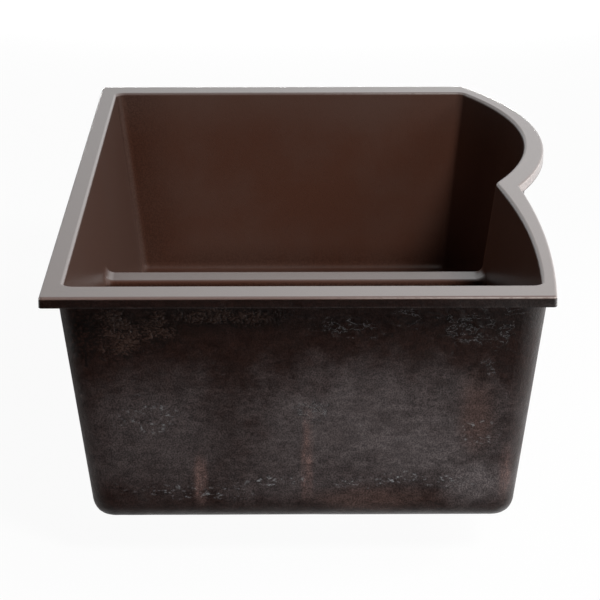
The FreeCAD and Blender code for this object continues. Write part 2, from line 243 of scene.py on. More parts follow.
class Group:
    """A shader node group under construction, with its named inputs and outputs."""

    def __init__(self, name: str, inputs: dict[str, str], outputs: dict[str, str]) -> None:
        """Makes the group's tree and sockets.

        Args:
            name: the group's name.
            inputs: each input's name and kind of value.
            outputs: each output's name and kind of value.
        """
        self.tree = bpy.data.node_groups.new(name, "ShaderNodeTree")
        for side, sockets in (("INPUT", inputs), ("OUTPUT", outputs)):
            for socket, kind in sockets.items():
                self.tree.interface.new_socket(socket, in_out=side, socket_type="NodeSocket" + kind)
        self.wiring = Wiring(self.tree)
        self.inputs = self.tree.nodes.new("NodeGroupInput").outputs
        self.outputs = self.tree.nodes.new("NodeGroupOutput").inputs

    def give(self, **values: Number) -> None:
        """Links values to the group's outputs, by name."""
        for name, value in values.items():
            self.wiring.plug(self.outputs[name], value)


class Effects:
    """The effects that the finishes share, each a node group that is built once."""

    def __init__(self) -> None:
        """Builds the groups."""
        self.grain = self.build_grain()
        self.clouds = self.build_clouds()
        self.spun = self.build_spun()
        self.flecks = self.build_flecks()
        self.patch = self.build_patch()

    @staticmethod
    def build_grain() -> Tree:
        """Fine grain: a height and a shade.

        Returns:
            The group, which takes a place and the grain's size.
        """
        group = Group("grain", {"Place": "Vector", "Size": "Float"}, {"Height": "Float", "Shade": "Float"})
        w = group.wiring
        coarser, coarse_share = 0.31, 0.4
        dark, light = 0.32, 0.68
        scale = w.math("DIVIDE", 1.0, group.inputs["Size"])
        fine = w.noise(group.inputs["Place"], scale, detail=2.0, rough=0.5)
        coarse = w.noise(group.inputs["Place"], w.product(scale, coarser), detail=3.0, rough=0.6)
        height = w.between(coarse_share, fine, coarse)
        group.give(Height=height, Shade=w.span(height, dark, light))
        return group.tree

    @staticmethod
    def build_clouds() -> Tree:
        """Slow uneven patches, as of handling, dust or bloom.

        Returns:
            The group, which takes a place, the patches' size and how much of the surface they cover.
        """
        group = Group("clouds", {"Place": "Vector", "Size": "Float", "Cover": "Float"}, {"Mask": "Float"})
        w = group.wiring
        scale = w.math("DIVIDE", 1.0, group.inputs["Size"])
        bare, reach = 0.78, 0.5
        below, above = 0.16, 0.12
        field = w.noise(group.inputs["Place"], scale, detail=7.0, rough=0.62)
        edge = w.math("SUBTRACT", bare, w.product(group.inputs["Cover"], reach))
        group.give(Mask=w.span(field, w.math("SUBTRACT", edge, below), w.math("ADD", edge, above)))
        return group.tree

    @staticmethod
    def build_spun() -> Tree:
        """The fine rings that spinning leaves round an upright axis.

        Returns:
            The group, which takes a place, the axis's X and the rings in a metre.
        """
        sockets = {"Place": "Vector", "Axis": "Float", "Rings": "Float"}
        group = Group("spun rings", sockets, {"Streak": "Float", "Height": "Float"})
        w = group.wiring
        x, y, z = w.parts(group.inputs["Place"])
        drift = 0.6
        low, high = 0.3, 0.7
        dx = w.math("SUBTRACT", x, group.inputs["Axis"])
        along = w.add("CombineXYZ", {
            0: w.product(w.length(dx, y), group.inputs["Rings"]),
            1: w.product(z, group.inputs["Rings"]),
            2: w.product(w.math("ARCTAN2", y, dx), drift),
        }).outputs[0]
        streak = w.noise(along, scale=1.0, detail=3.0, rough=0.7)
        group.give(Streak=streak, Height=w.span(streak, low, high))
        return group.tree

    @staticmethod
    def build_flecks() -> Tree:
        """Grains of quartz: scattered specks, light and dark.

        Returns:
            The group, which takes a place, the specks' spacing and the share of them that show.
        """
        sockets = {"Place": "Vector", "Spacing": "Float", "Share": "Float"}
        group = Group("quartz flecks", sockets, {"Light": "Float", "Dark": "Float"})
        w = group.wiring
        cells = w.cells(group.inputs["Place"], w.math("DIVIDE", 1.0, group.inputs["Spacing"]))
        draw, second, third = w.parts(cells.outputs["Color"])
        solid, bare, faintest = 0.18, 0.42, 0.3
        core = w.fade(cells.outputs["Distance"], solid, bare)
        share = group.inputs["Share"]
        light = w.product(core, w.math("LESS_THAN", draw, share), w.span(second, 0.0, 1.0, start=faintest))
        dark = w.product(core, w.math("LESS_THAN", third, share))
        group.give(Light=light, Dark=dark)
        return group.tree

    @staticmethod
    def build_patch() -> Tree:
        """A ragged patch on an end wall, by its middle and half sizes in Y and Z.

        Returns:
            The group, which takes a place, the patch's middle and half sizes, the noise that frays its
            edge, and the share of its reach where the edge starts.
        """
        sockets = {"Place": "Vector", "Y": "Float", "Z": "Float", "Half Y": "Float", "Half Z": "Float"}
        group = Group("wall patch", {**sockets, "Stir": "Float", "Core": "Float"}, {"Mask": "Float"})
        w = group.wiring
        x, y, z = w.parts(group.inputs["Place"])
        across = w.math("DIVIDE", w.math("SUBTRACT", y, group.inputs["Y"]), group.inputs["Half Y"])
        up = w.math("DIVIDE", w.math("SUBTRACT", z, group.inputs["Z"]), group.inputs["Half Z"])
        ragged = 2.2
        wall_starts, wall_full = 0.36, 0.37
        fray = w.product(w.math("SUBTRACT", group.inputs["Stir"], NOISE_MIDDLE), ragged)
        reach = w.math("ADD", w.length(across, up), fray)
        on_wall = w.span(x, wall_starts, wall_full)
        group.give(Mask=w.product(w.fade(reach, group.inputs["Core"], 1.0), on_wall))
        return group.tree


@dataclass(frozen=True)
class Pattern:
    """Cloudy noise, as Wiring.noise has it, and how much of it shows.

    It goes from its least to its most while the noise goes from starts to full.
    """

    scale: float
    detail: float
    rough: float
    stretch: Point = EVEN
    starts: float = 0.0
    full: float = 1.0
    least: float = 0.0
    most: float = 1.0


class Surface:
    """A material with one principled shader, and the coordinates and effects that feed it."""

    def __init__(self, name: str, effects: Effects) -> None:
        """Makes the material.

        Args:
            name: the material's name.
            effects: the shared groups.
        """
        self.material = bpy.data.materials.new(name)
        self.material.use_nodes = True
        self.material.node_tree.nodes.clear()
        self.effects = effects
        self.wiring = Wiring(self.material.node_tree)
        self.place = self.wiring.add("TexCoord").outputs["Object"]
        self.shader = self.wiring.add("BsdfPrincipled")
        self.wiring.add("OutputMaterial", {"Surface": self.shader.outputs[0]})

    def effect(self, tree: Tree, **values: Number) -> Outputs:
        """Places a shared group with its own values.

        Args:
            tree: the group.
            values: its inputs by name, with _ for a space.

        Returns:
            The group's outputs.
        """
        node = self.wiring.tree.nodes.new("ShaderNodeGroup")
        node.node_tree = tree
        self.wiring.plug(node.inputs["Place"], self.place)
        for name, value in values.items():
            self.wiring.plug(node.inputs[name.replace("_", " ")], value)
        return node.outputs

    def noise(self, pattern: Pattern) -> Socket:
        """A pattern's bare noise, from 0 to 1."""
        place = self.place
        if pattern.stretch != EVEN:
            place = self.wiring.stretched(place, pattern.stretch)
        return self.wiring.noise(place, pattern.scale, pattern.detail, pattern.rough)

    def show(self, pattern: Pattern) -> Socket:
        """How much of a pattern shows, from its least to its most."""
        value = self.noise(pattern)
        return self.wiring.span(value, pattern.starts, pattern.full, pattern.least, pattern.most)

    def set(self, values: dict[str, Any]) -> None:
        """Fills the shader's own sockets, by name."""
        for name, value in values.items():
            self.wiring.plug(self.shader.inputs[name], value)


class Flaw(Enum):
    """What a patch of the cast wall shows."""

    PITTED = "pitted"
    CRACKED = "cracked"
    SCUFFED = "scuffed"
    STREAKED = "streaked"
    BLOOMED = "bloomed"
    BROWNED = "browned"


Masks = dict[Flaw, Socket]
SOFT_FLAWS = (Flaw.BLOOMED, Flaw.BROWNED, Flaw.STREAKED)


@dataclass(frozen=True)
class WallPatch:
    """A patch of the small bowl's end wall, by its middle and half sizes."""

    flaw: Flaw
    y: float
    z: float
    half_y: float
    half_z: float
    raised: bool = False
    strength: float = 1.0


WALL_PATCHES = (
    WallPatch(Flaw.PITTED, -0.178, -0.040, 0.025, 0.027, raised=True),
    WallPatch(Flaw.PITTED, -0.212, -0.040, 0.024, 0.028),
    WallPatch(Flaw.PITTED, -0.146, -0.038, 0.022, 0.022, raised=True),
    WallPatch(Flaw.PITTED, -0.090, -0.026, 0.070, 0.011, raised=True),
    WallPatch(Flaw.CRACKED, 0.130, -0.036, 0.033, 0.021, raised=True),
    WallPatch(Flaw.CRACKED, 0.170, -0.036, 0.022, 0.021),
    WallPatch(Flaw.CRACKED, 0.028, -0.038, 0.036, 0.012, raised=True),
    WallPatch(Flaw.CRACKED, 0.078, -0.030, 0.034, 0.012, raised=True),
    WallPatch(Flaw.CRACKED, 0.140, -0.076, 0.021, 0.008, raised=True),
    WallPatch(Flaw.CRACKED, -0.008, -0.116, 0.018, 0.014),
    WallPatch(Flaw.SCUFFED, 0.030, -0.188, 0.040, 0.007),
    WallPatch(Flaw.SCUFFED, 0.070, -0.183, 0.035, 0.007),
    WallPatch(Flaw.SCUFFED, 0.110, -0.187, 0.030, 0.007),
    WallPatch(Flaw.SCUFFED, -0.155, -0.125, 0.034, 0.018, strength=0.6),
    WallPatch(Flaw.SCUFFED, -0.120, -0.196, 0.070, 0.010, strength=0.6),
    WallPatch(Flaw.SCUFFED, 0.140, -0.138, 0.020, 0.012),
    WallPatch(Flaw.SCUFFED, -0.040, -0.186, 0.040, 0.007),
    WallPatch(Flaw.STREAKED, -0.014, -0.168, 0.0075, 0.070),
    WallPatch(Flaw.STREAKED, -0.110, -0.186, 0.009, 0.036),
    WallPatch(Flaw.STREAKED, 0.164, -0.180, 0.009, 0.035, strength=0.7),
    WallPatch(Flaw.BLOOMED, 0.045, -0.132, 0.185, 0.088, strength=0.68),
    WallPatch(Flaw.BLOOMED, 0.085, -0.155, 0.100, 0.055, strength=0.80),
    WallPatch(Flaw.BLOOMED, 0.138, -0.186, 0.050, 0.036),
    WallPatch(Flaw.BLOOMED, -0.140, -0.142, 0.115, 0.092, strength=0.44),
    WallPatch(Flaw.BLOOMED, -0.005, -0.178, 0.160, 0.048, strength=0.50),
    WallPatch(Flaw.BROWNED, 0.136, -0.122, 0.022, 0.052),
    WallPatch(Flaw.BROWNED, 0.045, -0.203, 0.085, 0.018),
)


@dataclass(frozen=True)
class SatinSide:
    """The bowls and the rim's top: brown satin with quartz flecks and a dried film, which on the front wall
    is partly a painted light; a painted sheen on the rim and the divider's top; painted shade under the
    divider and darker specks near the far corner.
    """

    bowl: Colour = (0.076, 0.031, 0.020)
    bowl_pale: Colour = (0.082, 0.040, 0.029)
    # Painted shade under the divider's top, and darker specks near the far corner.
    shade_and_specks: Colour = (0.020, 0.0085, 0.0055)
    # Paler film colour; on the front wall it is partly a painted light.
    film: Colour = (0.105, 0.069, 0.058)
    # Paler rim colour: a painted sheen on the rim's top, the lobed back's lip and the divider's top.
    rim: Colour = (0.130, 0.089, 0.079)
    fleck: Colour = (0.20, 0.165, 0.15)
    runs: Pattern = Pattern(120.0, 4.0, 0.6, (1.0, 1.0, 0.06), 0.50, 0.72)
    specks: Pattern = Pattern(520.0, 2.0, 0.6, EVEN, 0.40, 0.60, 0.35)
    run_heights: Span = (-0.20, -0.06, 1.0, 0.2)
    run_end: Range = (0.10, 0.24)
    film_heights: Range = (-0.06, -0.004)
    front_film_and_light: float = 0.55
    top_film: float = 0.30
    run_film: float = 0.45
    shade_and_specks_cover: float = 0.75
    dark_flecks: float = 0.30
    light_flecks: float = 0.10

    def colour(self, s: Surface, zone: Outputs) -> Socket:
        """The colour of the bowls and of the rim's top.

        Args:
            s: the surface under construction.
            zone: where the rim with its painted sheen, the front wall's film and painted light, and the
                painted shade and dark specks are.

        Returns:
            The colour.
        """
        w = s.wiring
        slow = s.effect(s.effects.clouds, Size=0.19, Cover=0.5)["Mask"]
        flecks = s.effect(s.effects.flecks, Spacing=0.0013, Share=0.14)
        x, _, z = w.parts(s.place)
        dried = w.product(s.show(self.runs), w.span(z, *self.run_heights), w.span(x, *self.run_end))
        # Film: dried runs, a band near the top, and on the front wall partly a painted light.
        film = w.most(
            w.product(zone["Front"], self.front_film_and_light),
            w.product(w.span(z, *self.film_heights), self.top_film),
            w.product(dried, self.run_film))
        # Painted shade under the divider and darker specks near the far corner, both speckled.
        shade_and_specks = w.product(zone["Grime"], s.show(self.specks), self.shade_and_specks_cover)
        colour = w.blend(slow, self.bowl, self.bowl_pale)
        colour = w.blend(film, colour, self.film)
        colour = w.blend(shade_and_specks, colour, self.shade_and_specks)
        # The rim's paler colour is a painted sheen; its coat is real gloss.
        colour = w.blend(zone["Rim"], colour, self.rim)
        colour = w.blend(w.product(flecks["Dark"], self.dark_flecks), colour, DARK_FLECK_AND_SHADE)
        return w.blend(w.product(flecks["Light"], self.light_flecks), colour, self.fleck)


@dataclass(frozen=True)
class CastSide:
    """The cast outside: nearly black, with bloom, scuffs, cracks, pits and rusty runs; the bloom is partly
    a painted light from the floor, the pits and hollows carry painted shade, the crests a painted
    highlight, and the flange a painted light and highlight.
    """

    cast: Colour = (0.0104, 0.0046, 0.0034)
    # Lighter brown on the pitted relief's crests: a painted highlight.
    lit_crest: Colour = (0.022, 0.0120, 0.0090)
    edge: Colour = (0.0072, 0.0028, 0.0020)
    brown: Colour = (0.042, 0.0245, 0.0205)
    # Grey bloom; lower on the end wall it is partly a painted light from the floor.
    bloom_and_floor_light: Colour = (0.066, 0.056, 0.056)
    scuff: Colour = (0.150, 0.153, 0.158)
    rust: Colour = (0.092, 0.054, 0.047)
    # Paler flange colour: rubbing, and a painted light towards the right (+Y) and along the lower edge.
    rubbed_and_lit: Colour = (0.018, 0.015, 0.0142)
    fray: Pattern = Pattern(45.0, 5.0, 0.65)
    smear: Pattern = Pattern(22.0, 10.0, 0.70, (0.8, 0.8, 1.3))
    runs: Pattern = Pattern(210.0, 4.0, 0.65, (1.0, 1.0, 0.25), 0.38, 0.66, 0.35)
    mottle: Pattern = Pattern(150.0, 4.0, 0.6, (1.0, 0.55, 1.2), 0.34, 0.66, 0.80, 1.20)
    sand: Pattern = Pattern(820.0, 1.0, 0.5, EVEN, 0.32, 0.68, 0.60, 1.40)
    nicks: Pattern = Pattern(400.0, 4.0, 0.7, (1.0, 0.5, 1.0), 0.54, 0.66)
    clusters: Pattern = Pattern(90.0, 2.0, 0.6, EVEN, 0.36, 0.54)
    veins: Pattern = Pattern(62.0, 5.0, 0.66, (1.0, 0.6, 1.25))
    calm: float = 0.35
    soft_core: float = 0.20
    hard_core: float = 0.55
    thin_smear: Range = (0.46, 0.80)
    # The thin bloom grows towards the bottom of the wall: partly a painted light from the floor.
    floor_light_heights: Range = (-0.040, -0.150)
    thin_bloom_and_floor_light: float = 0.35
    thick_smear: Span = (0.30, 0.66, 0.72, 1.0)
    rubbed_smear: Span = (0.34, 0.62, 0.3, 1.0)
    # Paler towards +Y: partly a painted light from the right.
    rubbed_and_lit_side: Span = (0.08, 0.20, 0.05, 1.0)
    # A paler line along the flange's lower edge: wear and a painted highlight.
    lower_edge_wear_and_highlight: Span = (-0.0088, -0.0096, 0.0, 0.6)
    flange_heights: Range = (-0.0115, -0.0100)
    brown_cover: float = 0.75
    rust_cover: float = 0.75
    stray_nicks: float = 0.30
    nick_cover: float = 0.90
    lip_starts: Range = (0.500, 0.506)
    lip_ends: Range = (0.508, 0.520)
    lip_cover: float = 0.45
    crack: float = 0.494
    crack_reach: Range = (0.004, 0.012)
    raised_marks: Range = (0.0, 0.02)
    # Relief heights that get a painted highlight on crests and painted shade in hollows.
    lit_crest_marks: Range = (1.08, 1.50)
    hollow_shade_marks: Range = (1.00, 1.28)
    # Painted shade in the gaps between the pebbles.
    pebbles: float = 400.0
    pebble_stretch: Point = (1.0, 0.7, 1.0)
    pebble_gaps: Range = (0.34, 0.60)
    pit_shade_cover: float = 0.85

    def flaws(self, s: Surface) -> Masks:
        """Where the end wall's patches are.

        Args:
            s: the surface under construction.

        Returns:
            A mask for each kind of patch.
        """
        w = s.wiring
        stir = s.noise(self.fray)
        soft = {"Stir": w.between(self.calm, NOISE_MIDDLE, stir), "Core": self.soft_core}
        hard = {"Stir": stir, "Core": self.hard_core}
        masks: Masks = {}
        for patch in WALL_PATCHES:
            sizes = {"Y": patch.y, "Z": patch.z, "Half_Y": patch.half_y, "Half_Z": patch.half_z}
            edge = soft if patch.flaw in SOFT_FLAWS else hard
            mask = s.effect(s.effects.patch, **edge, **sizes)["Mask"]
            mask = w.product(mask, patch.strength) if patch.strength < 1.0 else mask
            masks[patch.flaw] = w.most(masks[patch.flaw], mask) if patch.flaw in masks else mask
        return masks

    def skin(self, s: Surface, flaws: Masks) -> Socket:
        """The colour of the smooth skin: bloom, partly a painted light from the floor, brown stains, rusty
        runs, and the flange's rubbed edge with a painted light on its right side and a painted highlight
        along its lower edge.

        Args:
            s: the surface under construction.
            flaws: where the patches are.

        Returns:
            The colour.
        """
        w = s.wiring
        _, y, z = w.parts(s.place)
        smear = s.noise(self.smear)
        # Thin bloom, lighter towards the bottom: partly a painted light from the floor.
        thin_bloom_and_light = w.product(w.span(smear, *self.thin_smear), w.span(z, *self.floor_light_heights), self.thin_bloom_and_floor_light)
        thick = w.product(flaws[Flaw.BLOOMED], w.span(smear, *self.thick_smear))
        # The flange paler towards +Y: rubbing and a painted light from the right.
        rubbed_and_lit = w.product(w.span(y, *self.rubbed_and_lit_side), w.span(smear, *self.rubbed_smear))
        flange = w.blend(rubbed_and_lit, self.edge, self.rubbed_and_lit)
        # A paler line along the flange's lower edge: wear and a painted highlight.
        flange = w.blend(w.span(z, *self.lower_edge_wear_and_highlight), flange, self.rubbed_and_lit)
        rusty = w.product(flaws[Flaw.STREAKED], s.show(self.runs), self.rust_cover)
        colour = w.blend(w.span(z, *self.flange_heights), self.cast, flange)
        colour = w.blend(w.most(thin_bloom_and_light, thick), colour, self.bloom_and_floor_light)
        colour = w.blend(w.product(flaws[Flaw.BROWNED], self.brown_cover), colour, self.brown)
        colour = w.blend(rusty, colour, self.rust)
        return w.blend(1.0, colour, w.product(s.show(self.mottle), s.show(self.sand)), "MULTIPLY")

    def scuffs(self, s: Surface, flaws: Masks, vein: Socket) -> Socket:
        """Where the pale nicks and the lips of the cracks are.

        Args:
            s: the surface under construction.
            flaws: where the patches are.
            vein: the noise that the cracks follow.

        Returns:
            The mask.
        """
        w = s.wiring
        sparse = s.effect(s.effects.clouds, Size=0.040, Cover=0.20)["Mask"]
        places = w.most(w.product(sparse, self.stray_nicks), flaws[Flaw.SCUFFED])
        nicks = w.product(s.show(self.nicks), s.show(self.clusters), places, self.nick_cover)
        lips = w.product(w.span(vein, *self.lip_starts), w.fade(vein, *self.lip_ends), flaws[Flaw.CRACKED])
        return w.most(nicks, w.product(lips, self.lip_cover))

    def colour(self, s: Surface) -> Socket:
        """The colour of the outside.

        Args:
            s: the surface under construction.

        Returns:
            The colour.
        """
        w = s.wiring
        flaws = self.flaws(s)
        vein = s.noise(self.veins)
        relief = w.add("Attribute", attribute_name="relief").outputs["Fac"]
        raised = w.span(relief, *self.raised_marks)
        # Painted highlight on the crests of the pitted relief.
        lit_crests = w.product(w.span(relief, *self.lit_crest_marks), flaws[Flaw.PITTED])
        cells = w.cells(w.stretched(s.place, self.pebble_stretch), self.pebbles)
        gaps = w.span(cells.outputs["Distance"], *self.pebble_gaps)
        cracks = w.fade(w.math("ABSOLUTE", w.math("SUBTRACT", vein, self.crack)), *self.crack_reach)
        # Painted shade in the pebble gaps and the relief's hollows, and the dark cracks.
        shaded_pits_and_cracks = w.most(
            w.product(gaps, flaws[Flaw.PITTED], w.math("SUBTRACT", 1.0, raised)),
            w.product(w.fade(relief, *self.hollow_shade_marks), raised),
            w.product(cracks, flaws[Flaw.CRACKED]))
        colour = w.blend(lit_crests, self.skin(s, flaws), self.lit_crest)
        colour = w.blend(self.scuffs(s, flaws, vein), colour, self.scuff)
        return w.blend(w.product(shaded_pits_and_cracks, self.pit_shade_cover), colour, DARK_FLECK_AND_SHADE)


@dataclass(frozen=True)
class CompositeFinish:
    """Quartz composite: brown satin in the bowls, a coat on the rim, and a dull cast skin outside."""

    satin: SatinSide = SatinSide()
    cast: CastSide = CastSide()
    # Pale colour on the rim's outer edge: wear, and a painted highlight that grows towards +Y.
    worn_edge_and_highlight: Colour = (0.36, 0.32, 0.30)
    chafe: Pattern = Pattern(140.0, 5.0, 0.7, EVEN, 0.30, 0.58, 0.25)
    chafed_and_lit_side: Span = (-0.05, 0.16, 0.0, 0.75)
    lumps: Pattern = Pattern(120.0, 5.0, 0.65)
    bowl_lumps: float = 0.12
    grain: float = 0.3
    relief: float = 0.0012
    relief_show: float = 0.55
    satin_rough: float = 0.30
    cast_rough: float = 0.38
    rough_spread: float = 0.12
    gloss: float = 0.30
    coat_ior: float = 1.54

    def material(self, effects: Effects, zones: Tree) -> Material:
        """Makes the basin's material.

        Args:
            effects: the shared groups.
            zones: the group that tells the basin's outside from its bowls and its rim.

        Returns:
            The material.
        """
        s = Surface("composite", effects)
        w = s.wiring
        zone = s.effect(zones)
        outside = zone["Outside"]
        base = w.blend(outside, self.satin.colour(s, zone), self.cast.colour(s))
        # More towards +Y: a painted highlight from the right.
        side = w.span(w.parts(s.place)[1], *self.chafed_and_lit_side)
        # The worn rim edge, with a painted highlight.
        chafed_and_highlight = w.product(zone["Worn"], s.show(self.chafe), side)
        mottle = s.effect(effects.clouds, Size=0.035, Cover=0.5)["Mask"]
        spread = w.product(w.math("SUBTRACT", mottle, NOISE_MIDDLE), outside, self.rough_spread)
        rough = w.math("ADD", w.between(outside, self.satin_rough, self.cast_rough), spread)
        grain = s.effect(effects.grain, Size=0.0011)["Height"]
        lumps = w.product(s.noise(self.lumps), w.between(outside, self.bowl_lumps, 1.0))
        height = w.math("ADD", w.product(grain, self.grain), lumps)
        s.set({
            "Base Color": w.blend(chafed_and_highlight, base, self.worn_edge_and_highlight),
            "Roughness": rough,
            "Specular IOR Level": self.gloss,
            "Coat Weight": zone["Rim"],
            "Coat Roughness": self.satin_rough,
            "Coat IOR": self.coat_ior,
            "Normal": w.bump(height, self.relief, self.relief_show),
        })
        return s.material


@dataclass(frozen=True)
class SteelFinish:
    """Stainless steel with the fine rings of spinning."""

    name: str
    colour: Colour
    dull: Colour
    rough: float
    rings: float = 2600.0
    ring_depth: float = 0.00004
    ring_show: float = 0.5
    ring_rough: float = 0.10
    dull_rough: float = 0.12
    dull_cover: float = 0.35

    def material(self, effects: Effects, axis: float) -> Material:
        """Makes the steel of one strainer's pieces.

        Args:
            effects: the shared groups.
            axis: the X of the strainer's middle.

        Returns:
            The material.
        """
        s = Surface(self.name, effects)
        w = s.wiring
        spun = s.effect(effects.spun, Axis=axis, Rings=self.rings)
        dull = s.effect(effects.clouds, Size=0.03, Cover=0.4)["Mask"]
        colour = w.blend(spun["Streak"], self.dull, self.colour)
        rough = w.math("ADD", self.rough, w.product(dull, self.dull_rough))
        rough = w.math("ADD", rough, w.product(spun["Streak"], self.ring_rough))
        s.set({
            "Base Color": w.blend(w.product(dull, self.dull_cover), colour, self.dull),
            "Metallic": 1.0,
            "Roughness": rough,
            "Normal": w.bump(spun["Height"], self.ring_depth, self.ring_show),
        })
        return s.material


@dataclass(frozen=True)
class MouldedFinish:
    """Rubber, plastic, foam or card: a dull colour with grain and dust."""

    name: str
    colour: Colour
    dust: Colour
    rough: float
    grain: float
    relief: float
    dusty: float
    dust_rough: float = 0.10
    relief_show: float = 0.6

    def material(self, effects: Effects) -> Material:
        """Makes the material.

        Args:
            effects: the shared groups.

        Returns:
            The material.
        """
        s = Surface(self.name, effects)
        w = s.wiring
        grain = s.effect(effects.grain, Size=self.grain)
        dust = s.effect(effects.clouds, Size=0.02, Cover=0.5)["Mask"]
        cover = w.product(w.math("ADD", dust, grain["Shade"]), self.dusty)
        s.set({
            "Base Color": w.blend(cover, self.colour, self.dust),
            "Roughness": w.math("ADD", self.rough, w.product(dust, self.dust_rough)),
            "Normal": w.bump(grain["Height"], self.relief, self.relief_show),
        })
        return s.material


STRAINER_STEEL = SteelFinish("strainer steel", (0.60, 0.59, 0.57), (0.42, 0.41, 0.40), rough=0.24)
BASKET_STEEL = SteelFinish("basket steel", (0.66, 0.65, 0.63), (0.48, 0.47, 0.46), rough=0.20)
POST_CHROME = SteelFinish("post chrome", (0.80, 0.80, 0.81), (0.70, 0.70, 0.71), rough=0.06, rings=900.0)
RETAINER_STEEL = SteelFinish("retainer steel", (0.56, 0.55, 0.54), (0.40, 0.39, 0.38), rough=0.30)
CLIP_STEEL = SteelFinish("clip steel", (0.45, 0.45, 0.46), (0.30, 0.30, 0.31), rough=0.32)
GASKET_FOAM = MouldedFinish(
    "gasket foam", (0.40, 0.40, 0.39), (0.52, 0.52, 0.50),
    rough=0.85, grain=0.0007, relief=0.0002, dusty=0.3)
WASHER_RUBBER = MouldedFinish(
    "washer rubber", (0.022, 0.022, 0.023), (0.09, 0.085, 0.08),
    rough=0.62, grain=0.0006, relief=0.0001, dusty=0.3)
RING_CARD = MouldedFinish(
    "ring card", (0.38, 0.28, 0.17), (0.52, 0.43, 0.31),
    rough=0.80, grain=0.0008, relief=0.0001, dusty=0.35)
NUT_PLASTIC = MouldedFinish(
    "nut plastic", (0.52, 0.52, 0.50), (0.60, 0.60, 0.58),
    rough=0.46, grain=0.0005, relief=0.00005, dusty=0.25)
STOPPER_RUBBER = MouldedFinish(
    "stopper rubber", (0.020, 0.020, 0.021), (0.08, 0.08, 0.08),
    rough=0.55, grain=0.0006, relief=0.0001, dusty=0.3)


def dress(node: str, material: Material) -> None:
    """Gives a CAD node its finish.

    Args:
        node: the node's name.
        material: the finish.
    """
    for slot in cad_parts[node].material_slots:
        slot.material = material
    log.info("%s: %s", node, material.name)


def finish_piece(piece: bpy.types.Object, material: Material) -> None:
    """Shades a new piece, dresses it, and fixes it to the basin.

    Args:
        piece: the piece.
        material: its finish.
    """
    bpy.ops.object.select_all(action="DESELECT")
    piece.select_set(True)
    bpy.context.view_layer.objects.active = piece
    bpy.ops.object.shade_smooth_by_angle(angle=SMOOTH_ANGLE)
    piece.data.materials.clear()
    piece.data.materials.append(material)
    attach(piece, Body.SINK.value)
    log.info("%s: %s, %d faces", piece.name, material.name, len(piece.data.polygons))


@dataclass(frozen=True)
class Lift:
    """One texture that raises a rough patch, how far it does, and its value that lifts nothing."""

    texture: bpy.types.Texture
    strength: float
    level: float


@dataclass(frozen=True)
class Relief:
    """How a kind of rough patch stands out from the wall."""

    kind: str
    size: float
    height: float
    level: float
    hard: bool = False
    hard_layers: int = 3
    grain_finer: float = 3.0
    grain_layers: int = 2
    grain_height: float = 0.0005
    grain_level: float = 0.4
    sunk: float = 0.0003
    backing: float = 0.0015
    grid: float = 0.0009
    least_cells: int = 8
    spread: float = 1.25
    stretch: float = 1.6
    firm: float = 1.5
    fray: float = 0.35
    fray_scale: float = 45.0
    fray_fall: float = 0.8
    fray_finer: float = 2.0
    fray_layers: int = 4
    unit: float = 0.001
    least_mark: float = 0.05

    def textures(self, name: str) -> list[Lift]:
        """The textures that raise the patch: its main form, and a fine grain on it.

        Args:
            name: the piece's name.

        Returns:
            The textures, with how far each one lifts the surface.
        """
        main = bpy.data.textures.new(f"{name}_form", self.kind)
        main.noise_scale = self.size
        if self.hard:
            main.noise_type, main.noise_depth = "HARD_NOISE", self.hard_layers
        fine = bpy.data.textures.new(f"{name}_grain", "CLOUDS")
        fine.noise_scale, fine.noise_depth = self.size / self.grain_finer, self.grain_layers
        return [Lift(main, self.height, self.level), Lift(fine, self.grain_height, self.grain_level)]

    def weight(self, place: Vector, across: float, up: float) -> float:
        """How much of the relief a vertex takes, with a frayed edge.

        Args:
            place: the vertex.
            across: how far it is from the patch's middle in Y, as a share of the half size.
            up: the same in Z.

        Returns:
            The weight, from 0 to 1.
        """
        stir = noise.fractal(place * self.fray_scale, self.fray_fall, self.fray_finer, self.fray_layers)
        return min(1.0, max(0.0, self.firm * (1.0 - math.hypot(across, up) + self.fray * stir)))


RELIEFS = {
    Flaw.PITTED: Relief("CLOUDS", 0.0022, 0.0022, 0.02, hard=True, grid=0.0006),
    Flaw.CRACKED: Relief("MUSGRAVE", 0.009, 0.0008, 0.50, unit=0.0003),
}


